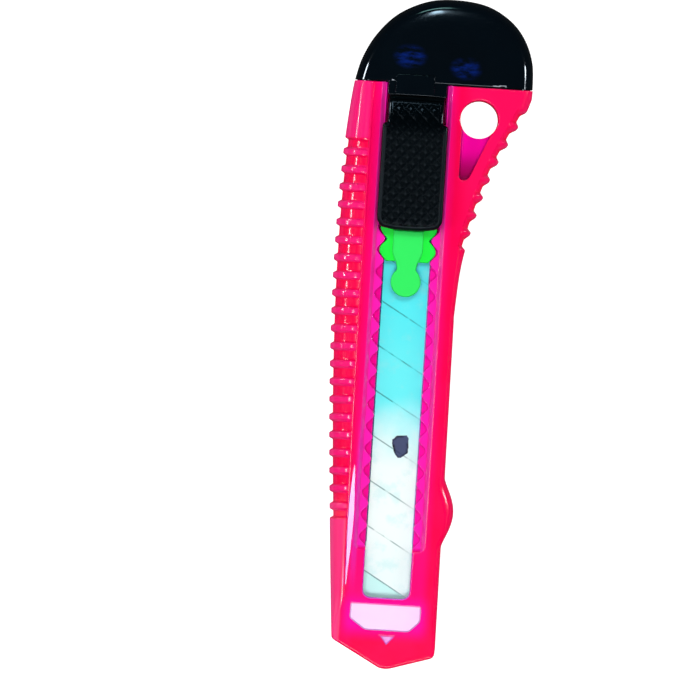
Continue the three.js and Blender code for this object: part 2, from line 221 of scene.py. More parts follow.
def rectangle(x0, x1, y0, y1, radius=0.0, steps=5):
    return rounded_polygon([(x0, y0), (x1, y0), (x1, y1), (x0, y1)], radius, steps)


def circle(centre, radius, count):
    turns = [2 * math.pi * k / count for k in range(count)]
    return [Vector((centre[0] + radius * math.cos(a), centre[1] + radius * math.sin(a)))
            for a in turns]


def inward_normals(outline):
    """For an anticlockwise outline, the way in at each point, lengthened at corners."""
    normals = []
    for i, here in enumerate(outline):
        before = (here - outline[i - 1]).normalized()
        after = (outline[(i + 1) % len(outline)] - here).normalized()
        n0 = Vector((-before.y, before.x))
        n1 = Vector((-after.y, after.x))
        mean = (n0 + n1).normalized()
        normals.append(mean / max(0.5, mean.dot(n1)))
    return normals


# ---- solids ------------------------------------------------------------------------------------
def mesh_object(name, vertices, faces):
    mesh = bpy.data.meshes.new(name)
    mesh.from_pydata([tuple(v) for v in vertices], [], faces)
    mesh.update()
    obj = bpy.data.objects.new(name, mesh)
    bpy.context.scene.collection.objects.link(obj)
    return obj


def loops_solid(name, loops):
    """A closed solid through equal loops, which run anticlockwise and go from the bottom up."""
    count = len(loops[0])
    vertices = [v for loop in loops for v in loop]
    faces = []
    for row in range(len(loops) - 1):
        for i in range(count):
            a = row * count + i
            b = row * count + (i + 1) % count
            faces.append((a, b, b + count, a + count))
    faces.append(tuple(reversed(range(count))))
    faces.append(tuple(range(len(vertices) - count, len(vertices))))
    return mesh_object(name, vertices, faces)


def outline_solid(name, outline, profile):
    """profile is a list of (inset, z) from the bottom up."""
    normals = inward_normals(outline)
    loops = []
    for inset, z in profile:
        moved = [p + n * inset for p, n in zip(outline, normals)]
        loops.append([(p.x, p.y, z) for p in moved])
    return loops_solid(name, loops)


def rounded_profile(z0, z1, low_round, high_round, steps=4):
    """The side of a slab with rounded lower and upper edges."""
    turns = [math.pi / 2 * k / steps for k in range(steps + 1)]
    low = [(low_round * (1 - math.sin(a)), z0 + low_round * (1 - math.cos(a))) for a in turns]
    high = [(high_round * (1 - math.cos(a)), z1 - high_round * (1 - math.sin(a))) for a in turns]
    return low + high


def drafted_round(share, draft=math.radians(16)):
    """How far in and how far down a rounded edge of size 1 is, and its angle, from side to top.

    It starts with the draft of a moulded side, so the parting line is a faint crest.
    """
    turn = draft + (math.pi / 2 - draft) * share
    across_round = 1 - math.cos(turn) / math.cos(draft)
    down_round = (1 - math.sin(turn)) / (1 - math.sin(draft))
    return across_round, down_round, turn


def flare(z, radius, steps=4):
    """The side of a cutter that leaves a rounded edge round its opening at height z."""
    turns = [math.pi / 2 * k / steps for k in range(steps + 1)]
    return [(-radius * (1 - math.cos(a)), z - radius * (1 - math.sin(a))) for a in turns]


def slab(name, outline, z0, z1, low_round=0.2, high_round=0.2, steps=3):
    return outline_solid(name, outline, rounded_profile(z0, z1, low_round, high_round, steps))


def block(name, x0, x1, y0, y1, z0, z1):
    return outline_solid(name, rectangle(x0, x1, y0, y1), [(0, z0), (0, z1)])


def combine(target, operation, *others):
    """Joins or cuts target with the others, which are used up."""
    for other in others:
        modifier = target.modifiers.new("combine", "BOOLEAN")
        modifier.operation = operation
        modifier.solver = "MANIFOLD"
        modifier.object = other
        apply_modifiers(target)
        used = other.data
        bpy.data.objects.remove(other)
        bpy.data.meshes.remove(used)
    return target


def apply_modifiers(obj):
    graph = bpy.context.evaluated_depsgraph_get()
    done = bpy.data.meshes.new_from_object(
        obj.evaluated_get(graph), preserve_all_data_layers=True, depsgraph=graph)
    old = obj.data
    obj.modifiers.clear()
    obj.data = done
    bpy.data.meshes.remove(old)
    done.name = obj.name


def cut(target, *others):
    return combine(target, "DIFFERENCE", *others)


def join(target, *others):
    return combine(target, "UNION", *others)


@contextlib.contextmanager
def opened(obj):
    """The object's mesh, open for changes inside a with block."""
    mesh = bmesh.new()
    mesh.from_mesh(obj.data)
    yield mesh
    mesh.to_mesh(obj.data)
    mesh.free()


def face_outwards(obj):
    with opened(obj) as mesh:
        bmesh.ops.recalc_face_normals(mesh, faces=mesh.faces)
    return obj


def slice_across(obj, places):
    """Adds edges where the planes y = place cross the mesh, so that it can bend there."""
    with opened(obj) as mesh:
        for y in places:
            everything = mesh.verts[:] + mesh.edges[:] + mesh.faces[:]
            bmesh.ops.bisect_plane(mesh, geom=everything, plane_co=(0, y, 0), plane_no=(0, 1, 0))


def deliver(obj, body, material, replaced, crease=34):
    """Cleans a finished shape, moves it into the frame and hands it over as a piece."""
    with opened(obj) as mesh:
        bmesh.ops.remove_doubles(mesh, verts=mesh.verts, dist=0.002)
        bmesh.ops.dissolve_degenerate(mesh, edges=mesh.edges, dist=0.001)
        bmesh.ops.recalc_face_normals(mesh, faces=mesh.faces)
    obj.data.transform(TO_FRAME)
    obj.data.polygons.foreach_set("use_smooth", [True] * len(obj.data.polygons))
    obj.data.set_sharp_from_angle(angle=math.radians(crease))
    weighted = obj.modifiers.new("weighted", "WEIGHTED_NORMAL")
    weighted.keep_sharp = True
    apply_modifiers(obj)
    obj.data.materials.clear()
    obj.data.materials.append(material)
    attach(obj, body)
    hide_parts(replaced)
    return obj


# ---- handle ------------------------------------------------------------------------------------
spine_at = edge_function([
    (-12.4, 7.2), (-13.4, 20), (-14.3, 32), (-15.6, 50), (-16.65, 68), (-17.3, 86),
    (SPINE_SIDE, 101), (-17.2, 114), (-16.6, 125), (-15.8, 134), (-15.1, CAP_JOINT),
    (-14.2, CAP_JOINT + 5), (-13.4, REAR)])
ridge_at = edge_function([(-9.7, 0), (-10, 18), (-10.5, 35), (-10.9, 80), (-11, 110), (-11, REAR)])
flare_at = edge_function([
    (12, 84), (12.9, 96), (14.8, 105), (18.5, 117.5), (22.3, 126.3), (25.4, 132.5), (27, 136.5),
    (BELLY_SIDE, CAP_JOINT), (BELLY_SIDE - 0.1, REAR)])


def belly_at(y):
    if y > 84:
        return flare_at(y)
    finger_stop = max(0, 1 - ((y - 38) / 8.3) ** 2) ** 1.5 * 2.5
    return 12.5 - 0.005 * y + finger_stop


def rib_depth(y):
    """How far the spine side is cut back between its ribs."""
    if y < SMOOTH_UNTIL or y > SMOOTH_FROM:
        return 0
    rib = min(RIB_COUNT - 1, max(0, round((y - FIRST_RIB) / RIB_PITCH)))
    from_crest = abs(y - FIRST_RIB - rib * RIB_PITCH)
    ends = smoothstep(SMOOTH_UNTIL, SMOOTH_UNTIL + 0.6, y)
    ends *= 1 - smoothstep(SMOOTH_FROM - 0.6, SMOOTH_FROM, y)
    return RIB_DEPTH * smoothstep(0.5, 1.15, from_crest) * ends


def notch_depth(y):
    """How far the belly side is cut back between its slanted crests."""
    part = (y - FIRST_NOTCH) / NOTCH_PITCH
    if part < 0 or part > NOTCH_COUNT:
        return 0
    part %= 1
    return NOTCH_DEPTH * smoothstep(0.02, 0.24, part) * (1 - smoothstep(0.52, 0.96, part))


def handle_rim():
    """The outline's points, each with its rounding, its depth of cut and its ridge."""
    rim = []

    def add(point, rounding, depth=0.0, ridge=0.0):
        rim.append((Vector(point), rounding, depth, ridge))

    nose_round = 0.55
    for p in quadratic((-0.9, 0.3), (0.6, -0.275), (2.4, 0.25), 10):
        add(p, nose_round)
    for p in quadratic((11.2, 2.95), (12.4, 3.3), (12.4, 4.5), 8):
        add(p, nose_round)
    belly_steps = (steps_between(5.5, 29, 1.5) + steps_between(29, 47, 0.5)
                   + steps_between(47, 98, 1.5) + steps_between(98, 136.4, 0.2)
                   + steps_between(136.4, REAR, 1) + [REAR])
    for y in belly_steps:
        rounding = nose_round + 0.7 * smoothstep(5, 14, y) + 1.1 * smoothstep(88, 108, y)
        rounding += 1.3 * smoothstep(31, 41, y) * (1 - smoothstep(43.5, 47.5, y))
        add((belly_at(y), y), rounding, notch_depth(y))
    spine_steps = (steps_between(REAR, 127, 1.2) + steps_between(127, 34, 0.18)
                   + steps_between(34, 7.2, 0.9) + [7.2])
    for y in spine_steps:
        full = ridge_at(y) - spine_at(y)
        rounding = nose_round + (full - nose_round) * smoothstep(6.5, 17, y)
        add((spine_at(y), y), rounding, rib_depth(y), smoothstep(14, 22, y))
    for p in quadratic((-12.35, 6.9), (-12.1, 6.3), (-11.2, 5.9), 8):
        add(p, nose_round)
    return rim


def handle_body():
    """The outside of the handle: a slab whose rounding, ribs and ridge change along its rim."""
    rim = handle_rim()
    normals = inward_normals([point for point, _, _, _ in rim])
    steps = 9
    tallest = BODY_TOP / 2 - 0.1
    ridge_height = 0.16

    def face_loop(extra, height):
        """A loop inside the rounding, which rises where there is a ridge."""
        loop = []
        for (p, rounding, _, ridge), n in zip(rim, normals):
            q = p + n * (rounding + extra * (0.15 + 0.85 * ridge))
            loop.append((q.x, q.y, BODY_TOP + height * ridge))
        return loop

    side = []
    for k in range(steps + 1):
        across_round, down_round, turn = drafted_round(k / steps)
        fade = 1 - 0.4 * (k / steps) ** 3
        loop = []
        for (p, rounding, depth, _), n in zip(rim, normals):
            inset = rounding * across_round + depth * fade * math.cos(turn)
            drop = min(rounding, tallest) * down_round + depth * fade * math.sin(turn)
            q = p + n * inset
            loop.append((q.x, q.y, BODY_TOP - drop))
        side.append(loop)
    face = [(0.08, 0), (0.2, 0.8), (0.35, 1), (0.6, 0.8), (0.75, 0)]
    top = side + [face_loop(extra, ridge_height * share) for extra, share in face]
    bottom = [face_loop(0.75, 0), *reversed(side)]
    bottom = [[(x, y, BODY_TOP - z) for x, y, z in loop] for loop in bottom]
    return loops_solid("handle_shell", bottom + top)


def rail_edge(y0, y1, clearance=0.0, per_tooth=20, bulge=1.0):
    """A stretch of the wavy edge of a rail, drawn in by clearance; bulge below 1 rounds its tips."""
    edge = []
    for y in steps_between(y0, y1, CLICK_PITCH / per_tooth) + [y1]:
        swing = (1 + math.cos(2 * math.pi * (y - FIRST_CLICK) / CLICK_PITCH)) / 2
        edge.append(Vector((SLOT_HALF - clearance + (NOTCH_HALF - SLOT_HALF) * swing ** bulge, y)))
    return edge


def mirrored(points):
    return [Vector((-p.x, p.y)) for p in reversed(points)]


def toothed_slot():
    """The slot above the ledges, with a notch in both rails for each click."""
    right = [Vector((SLOT_HALF - 0.05, SLOT_FRONT + 8))]
    right += rail_edge(FIRST_CLICK - CLICK_PITCH / 2, LAST_CLICK)
    right += [Vector((NOTCH_HALF, REAR + 5))]
    profile = [(0.12, LEDGE_TOP), (0.03, LEDGE_TOP + 0.1), (0, LEDGE_TOP + 0.25)]
    profile += flare(RAIL_TOP, 0.18, 3) + [(-0.18, RAIL_TOP + 0.4)]
    return outline_solid("toothed_slot", right + mirrored(right), profile)


def ledge_slot():
    """The straight slot between the ledges, which opens out behind the rails."""
    right = [Vector((LEDGE_HALF, SLOT_FRONT + 6)), Vector((LEDGE_HALF, LAST_CLICK)),
             Vector((REAR_HALF, LAST_CLICK)), Vector((REAR_HALF, REAR + 5))]
    profile = [(0, GROOVE_TOP - 0.3), (0, GROOVE_TOP + 0.05), (-LEDGE_CHAMFER, LEDGE_TOP),
               (-LEDGE_CHAMFER, LEDGE_TOP + 0.1)]
    return outline_solid("ledge_slot", right + mirrored(right), profile)


def front_slot():
    outline = rounded_polygon(
        [(-SLOT_HALF, SLOT_FRONT), (SLOT_HALF, SLOT_FRONT), (SLOT_HALF, 30), (-SLOT_HALF, 30)],
        [2.1, 2.1, 0, 0], 8)
    profile = [(0, GROOVE_TOP - 0.3)] + flare(BODY_TOP, 0.45, 5) + [(-0.45, CLEAR)]
    return outline_solid("front_slot", outline, profile)


def channel_mouth():
    """The bevelled opening above the rails."""
    outline = rounded_polygon(
        [(-MOUTH_HALF, MOUTH_FRONT), (MOUTH_HALF, MOUTH_FRONT), (MOUTH_HALF, REAR + 5),
         (-MOUTH_HALF, REAR + 5)], [1.5, 1.5, 0, 0], 6)
    profile = [(0.85, RAIL_TOP), (0.8, RAIL_TOP + 0.06), (0.16, BODY_TOP - 0.24),
               (0.04, BODY_TOP - 0.1), (-0.12, BODY_TOP - 0.03), (-0.3, BODY_TOP), (-0.3, CLEAR)]
    return outline_solid("channel_mouth", outline, profile)


def lanyard_hole():
    rim = 0.45
    low = [(inset, BODY_TOP - z) for inset, z in reversed(flare(BODY_TOP, rim))]
    profile = [(-rim, -1)] + low + flare(BODY_TOP, rim) + [(-rim, CLEAR)]
    return outline_solid("lanyard_hole", circle(HOLE, HOLE_RADIUS, 64), profile)


def lanyard_pocket():
    outline = rounded_polygon(
        [(HOLE.x - 4.0, 117.4), (13.3, 117.4), (18.3, 129), (18.3, HOLE.y), (HOLE.x - 4.0, HOLE.y)],
        [1.0, 1.2, 1.5, 0, 0])
    floor = BODY_TOP - 3.2
    profile = [(0.7, floor), (0.35, floor + 0.15), (0.2, floor + 0.5)]
    profile += [(0, BODY_TOP - 0.4)] + flare(BODY_TOP, 0.3)[1:] + [(-0.3, CLEAR)]
    return outline_solid("lanyard_pocket", outline, profile)


def ridge_facet():
    """A long wedge beside the ridge, cut deepest next to it."""
    plan = [(-9.45, 48), (-10.2, 40), (-10.2, 32), (-9.95, 19.5), (-9.7, 19.5), (-8.95, 31),
            (-8.8, 38), (-9.25, 48)]
    facet = outline_solid("ridge_facet", rounded_polygon(plan, [0, 3, 3, 0.1, 0.1, 3, 3, 0], 3),
                          [(0, BODY_TOP), (0, CLEAR)])
    for vertex in facet.data.vertices:
        if vertex.co.z < CLEAR - 0.1:
            vertex.co.z -= 0.2 * (-8.65 - vertex.co.x) * (1 - 0.8 * smoothstep(37, 45, vertex.co.y))
    return facet


def nose_marks():
    """A shallow plain panel, deeper towards the nose, and an arrowhead for the blade's way out."""
    floor = BODY_TOP - 0.3
    plate = rounded_polygon(
        [(-8.4, 15.4), (-8.4, 11.6), (-4.6, 9), (6, 9), (8.6, 11.6), (8.6, 15.4)], 0.7, 4)
    arrow = rounded_polygon([(-1.3, 8), (0.8, 5.6), (2.9, 8)], 0.3, 3)
    profile = [(0.45, floor), (0.3, floor + 0.03), (0.05, BODY_TOP - 0.06), (-0.1, BODY_TOP),
               (-0.1, CLEAR)]
    panel = outline_solid("nose_panel", plate, profile)
    pointer = outline_solid("arrow", arrow, profile)
    for mark, high_end in ((panel, 15.4), (pointer, 8)):
        for vertex in mark.data.vertices:
            if vertex.co.z < BODY_TOP - 0.1:
                vertex.co.z -= PANEL_SLOPE * (high_end - vertex.co.y) - 0.2
    return panel, pointer


def back_marks():
    """A long shallow recess in the back, with the round marks of the mould's pins."""
    profile = [(-0.3, -1), (-0.3, 0), (-0.1, 0.04), (0, 0.15), (0.15, 0.35), (0.35, 0.4)]
    marks = [outline_solid("back_recess", rectangle(-6.5, 6.5, 26, 118, 3, 8), profile)]
    for y in (34, 72, 110):
        marks.append(outline_solid("pin_mark", circle((0, y), 2.4, 40), [
            (0, 0.2), (0, 0.5), (0.08, 0.55)]))
    return marks


def end_cutter(name, y0, y1, low, high, rounding):
    """A block that cuts a piece off square, and rounds the edge that it leaves."""
    bottom = [(inset, high + low - z) for inset, z in reversed(flare(high, rounding))]
    profile = [(-rounding, low - 2)] + bottom + flare(high, rounding) + [(-rounding, high + 2)]
    return outline_solid(name, rectangle(-60, 60, y0, y1), profile)


def make_handle(material):
    handle = handle_body()
    cut(handle, end_cutter("rear", CAP_JOINT, REAR + 20, 0, BODY_TOP, 0.35))
    cut(handle, toothed_slot(), ledge_slot(), front_slot(), channel_mouth())
    cut(handle, block("groove", -GROOVE_HALF, GROOVE_HALF, -10, REAR, GROOVE_BOTTOM, GROOVE_TOP))
    cut(handle, block("cavity", -CAVITY_HALF, CAVITY_HALF, CAVITY_FRONT, REAR, CAVITY_BOTTOM,
                      GROOVE_TOP - 0.1))
    cut(handle, lanyard_hole(), lanyard_pocket(), ridge_facet(), *nose_marks(), *back_marks())
    handle.name = "handle_moulding"
    return deliver(handle, "handle", material, "handle")


# ---- end cap -----------------------------------------------------------------------------------
def dome_outline():
    dome = spline([
        (BELLY_SIDE, CAP_JOINT), (27, 146), (24.9, 151.6), (21.2, 156), (15.4, 159.2),
        (8, KNIFE_END), (1.2, 159.4), (-5.6, 156.1), (-10.5, 151), (-13.6, 145.2),
        (-15.1, CAP_JOINT)], 8)
    skirt = CAP_JOINT - 12
    return [Vector((BELLY_SIDE, skirt))] + dome + [Vector((-16.4, skirt))]


def make_cap(material):
    rim = 2.9
    rise = 3.6
    shoulder = BODY_TOP - 0.42
    side = []
    for k in range(10):
        across_round, down_round, _ = drafted_round(k / 9, math.radians(20))
        side.append((rim * across_round, shoulder - rise * down_round))
    base = [(inset, BODY_TOP - z) for inset, z in reversed(side)]
    crown = [(rim + 1.2, BODY_TOP - 0.22), (rim + 3.2, BODY_TOP - 0.1), (rim + 5.5, BODY_TOP - 0.02),
             (rim + 8, BODY_TOP)]
    under = [(inset, BODY_TOP - z) for inset, z in reversed(crown)]
    cap = outline_solid("end_cap_dome", dome_outline(), under + base + side + crown)
    cut(cap, end_cutter("front", 60, CAP_JOINT + GAP, 0, BODY_TOP, 0.25))
    middle = BODY_TOP / 2
    lip = outline_solid("lip", dome_outline(), [
        (inset + 0.55, middle + (z - middle) * 0.88) for inset, z in under + base + side + crown])
    cut(lip, block("lip_front", -60, 60, 60, CAP_JOINT + 0.05, -10, 20))
    join(cap, lip)
    tongue_front = along(CAP_LOW[1]) + 10.6
    tongue = slab("tongue", rectangle(-7, 7, tongue_front, CAP_JOINT + 3, 0.5),
                  RAIL_TOP + GAP, BODY_TOP - 0.1, 0.15, 0.25)
    pad = slab("pad", rectangle(-5.3, 4, tongue_front + 0.2, 141.6, 0.5),
               RAIL_TOP + 0.4, BODY_TOP + 0.55, 0.1, 0.12)
    half = REAR_HALF - GAP
    plug = slab("plug", rectangle(-half, half, 126, CAP_JOINT + 3, 0.8),
                CAVITY_BOTTOM + GAP, RAIL_TOP - 0.1, 0.5, 0.3)
    neck = slab("neck", rectangle(-half + 0.05, half - 0.05, 137.5, CAP_JOINT + 3, 0.3),
                RAIL_TOP - 0.6, RAIL_TOP + 0.6, 0.1, 0.1)
    join(cap, tongue, pad, neck, plug)
    return deliver(cap, "end_cap", material, "end_cap")


# ---- slider ------------------------------------------------------------------------------------
def slider_outline():
    front = SLIDER_FRONT + 0.35
    corner = SLIDER_HALF - 2.6
    right = quadratic((0, SLIDER_FRONT), (SLIDER_HALF / 2, SLIDER_FRONT), (corner, front), 6)
    right += quadratic((corner, front), (SLIDER_HALF, front + 0.2), (SLIDER_HALF, front + 3), 8)[1:]
    right += quadratic((SLIDER_HALF, SLIDER_STEP - 0.6), (SLIDER_HALF, SLIDER_STEP),
                       (SLIDER_HALF - 0.6, SLIDER_STEP + 0.3), 4)
    right += quadratic((SLIDER_REAR_HALF + 0.3, SLIDER_STEP + 0.4),
                       (SLIDER_REAR_HALF, SLIDER_STEP + 0.5),
                       (SLIDER_REAR_HALF, SLIDER_STEP + 0.9), 4)
    right += quadratic((SLIDER_REAR_HALF, SLIDER_REAR - 0.5), (SLIDER_REAR_HALF, SLIDER_REAR),
                       (SLIDER_REAR_HALF - 0.5, SLIDER_REAR), 4)
    right += [Vector((0, SLIDER_REAR))]
    return right + mirrored(right)[1:-1]


def knurled_block():
    """A block whose top is all staggered, blunt four-sided points."""
    low = SLIDER_CROWN - 0.02
    blunt = 0.13
    reach = 13
    middle = Vector((0, (SLIDER_FRONT + SLIDER_REAR) / 2))
    vertices = []
    faces = []
    index = {}

    def vertex(u, v, z):
        key = (round(u * 100), round(v * 100), round(z * 100))
        if key not in index:
            index[key] = len(vertices)
            place = middle + Vector(((u + v) / 2 * KNURL_PITCH, (u - v) * KNURL_ROW))
            vertices.append((place.x, place.y, z))
        return index[key]

    turns = [(-1, -1), (-1, 1), (1, 1), (1, -1)]
    for i in range(-reach, reach + 1):
        for j in range(-reach, reach + 1):
            base = [vertex(i + a / 2, j + b / 2, low) for a, b in turns]
            top = [vertex(i + a * blunt, j + b * blunt, KNURL_TOP) for a, b in turns]
            faces.append(tuple(top))
            for k in range(4):
                n = (k + 1) % 4
                faces.append((base[k], base[n], top[n], top[k]))
    edge = reach + 0.5
    bottom = [vertex(a * edge, b * edge, low - 1) for a, b in turns]
    faces.append(tuple(reversed(bottom)))
    steps = range(-reach, reach + 2)
    sides = [
        [vertex(-edge, k - 0.5, low) for k in steps],
        [vertex(k - 0.5, edge, low) for k in steps],
        [vertex(edge, 0.5 - k, low) for k in steps],
        [vertex(0.5 - k, -edge, low) for k in steps],
    ]
    for k, side in enumerate(sides):
        faces.append((*reversed(side), bottom[k], bottom[(k + 1) % 4]))
    return face_outwards(mesh_object("knurl", vertices, faces))


def bend_slider(obj):
    """Lets the crown fall away towards the cap, with a bevelled rear edge."""
    bevel = SLIDER_REAR - 1.3
    slice_across(obj, [SLIDER_STEP + k for k in range(6)] + [bevel, bevel + 0.65])
    for vertex in obj.data.vertices:
        x, y, z = vertex.co
        fall = 0.022 * max(0, y - SLIDER_STEP) ** 2 + 0.75 * max(0, y - bevel)
        fall += 0.35 * max(0, SLIDER_FRONT + 2 - y)
        vertex.co.z = z - fall * smoothstep(12, SLIDER_CROWN, z)


def make_slider(material):
    outline = slider_outline()
    flange_bottom = BODY_TOP + GAP
    button = slab("slider_thumbpiece", outline, flange_bottom, SLIDER_CROWN, 0.25, 0.8, 5)
    pad = outline_solid("knurl_pad", outline, [
        (1.0, SLIDER_CROWN - 0.4), (1.0, SLIDER_CROWN), (1.25, KNURL_TOP + 0.1)])
    cut(pad, block("pad_rear", -20, 20, SLIDER_REAR - 1.6, SLIDER_REAR + 5, 10, 20))
    combine(pad, "INTERSECT", knurled_block())
    join(button, pad)
    bend_slider(button)
    skirt = slab("skirt", rectangle(-6.8, 6.8, SLIDER_FRONT + 2, SLIDER_REAR - 0.5, 0.6),
                 RAIL_TOP + GAP, flange_bottom + 0.8, 0.2, 0.1)
    join(button, skirt)
    cut(button, block("socket", -3.3, 3.3, 112 - GAP, 118 + GAP, 8, 12.4 + GAP))
    return deliver(button, "slider", material, "slider_button", 28)


# ---- blade lock --------------------------------------------------------------------------------
def tab_outline():
    """The raised tab: a broad root, a short neck and a round end over the blade's hole."""
    neck = 2.45
    turn = math.asin(neck / DISC_RADIUS)
    sweep = [-math.pi / 2 + (math.pi - turn) * k / 20 for k in range(21)]
    right = [Vector((DISC_RADIUS * math.cos(a), PEG_Y + DISC_RADIUS * math.sin(a))) for a in sweep]
    start = PEG_Y + DISC_RADIUS * math.cos(turn)
    right += quadratic((neck - 0.15, start + 0.3), (neck - 0.1, 96.6), (3.3, 98.3), 8)
    right += quadratic((3.4, 98.6), (3.6, 99.2), (3.6, 100), 4)
    right += [Vector((3.6, SLIDER_FRONT))]
    return right + [Vector((-p.x, p.y)) for p in reversed(right[1:])]


def make_lock(material):
    bottom = LOCK_LOW[2] / MM
    seat = BLADE_TOP + GAP
    plate_top = RAIL_TOP - 0.4
    front = FIRST_CLICK + 12.5 * CLICK_PITCH
    rear = front + 2 * CLICK_PITCH
    web_half = LEDGE_HALF - 0.4
    lock = slab("blade_lock_moulding", rectangle(-web_half, web_half, front + 0.1, 123, 0.3), seat,
                plate_top - 0.05, 0.1, 0.2)
    right = [Vector((0, front)), *rail_edge(front, rear, 0.5, 24, 0.58), Vector((0, rear))]
    lobes = slab("lobes", right + mirrored(right[1:-1]), LEDGE_TOP + GAP, plate_top, 0.1, 0.3, 4)
    tab = slab("tab", tab_outline(), seat + 0.3, RAIL_TOP + 0.45, 0.1, 0.4, 5)
    for vertex in tab.data.vertices:
        slope = 0.35 * (1 - smoothstep(93.5, 98, vertex.co.y))
        vertex.co.z -= slope * smoothstep(seat, RAIL_TOP, vertex.co.z)
    peg = slab("peg", circle((0, PEG_Y), PEG_RADIUS, 32), bottom, seat + 0.4, 0.4, 0.05)
    boss = slab("boss", circle((0, PEG_Y), PEG_RADIUS + 1, 32), seat, seat + 0.4, 0.1, 0.05)
    stud = slab("stud", rectangle(-3, 3, 112, 118, 0.3), plate_top - 0.4, 12.4, 0.1, 0.3)
    join(lock, lobes, tab, boss, peg, stud)
    return deliver(lock, "slider", material, "blade_lock")


# ---- blade -------------------------------------------------------------------------------------
# of a prism with four sides, whose corners are listed end by end
PRISM_FACES = [(0, 1, 5, 4), (1, 2, 6, 5), (2, 3, 7, 6), (3, 0, 4, 7), (3, 2, 1, 0), (4, 5, 6, 7)]


def score_cutter(index):
    """A shallow V across the blade, where a segment snaps off, shallower near the sharp edge."""
    middle = Vector((0, BLADE_POINT + BLADE_HALF * math.tan(SCORE_ANGLE) + index * SEGMENT_PITCH))
    run = Vector((math.cos(SCORE_ANGLE), -math.sin(SCORE_ANGLE)))
    side = Vector((-run.y, run.x))
    section = [(0, BLADE_TOP - 0.13), (0.2, BLADE_TOP + 0.02), (0, BLADE_TOP + 0.3),
               (-0.2, BLADE_TOP + 0.02)]
    vertices = []
    for end in (-BLADE_HALF * 1.6, BLADE_HALF * 1.6):
        rise = 0.09 if end > 0 else 0
        for offset, z in section:
            q = middle + run * end + side * offset
            vertices.append((q.x, q.y, z + rise))
    return mesh_object("score", vertices, PRISM_FACES)


def ground_edge(side):
    """Removes one face of the ground cutting edge."""
    middle = (BLADE_TOP + BLADE_BOTTOM) / 2
    half = (BLADE_TOP - BLADE_BOTTOM) / 2
    bevel = BLADE_HALF - 1.8
    section = [(bevel, middle + side * half), (BLADE_HALF + 0.5, middle + side * 0.03),
               (BLADE_HALF + 0.5, middle + side * 2), (bevel, middle + side * 2)]
    vertices = [(x, y, z) for y in (-20, BLADE_REAR + 20) for x, z in section]
    return face_outwards(mesh_object("wedge", vertices, PRISM_FACES))


def make_blade(material):
    rise = 2 * BLADE_HALF * math.tan(SCORE_ANGLE)
    outline = rounded_polygon(
        [(BLADE_HALF, BLADE_POINT), (BLADE_HALF, BLADE_REAR), (-BLADE_HALF, BLADE_REAR),
         (-BLADE_HALF, BLADE_POINT + rise)], [0, 1.2, 1.2, 0.3], 4)
    blade = slab("scored_blade", outline, BLADE_BOTTOM, BLADE_TOP, 0.03, 0.03, 2)
    cut(blade, slab("hole", circle((0, PEG_Y), PEG_RADIUS + GAP, 48), 0, 20, 0, 0, 1))
    cut(blade, ground_edge(1), ground_edge(-1))
    cut(blade, *[score_cutter(i) for i in range(1, SEGMENT_COUNT)])
    return deliver(blade, "slider", material, "blade", 12)


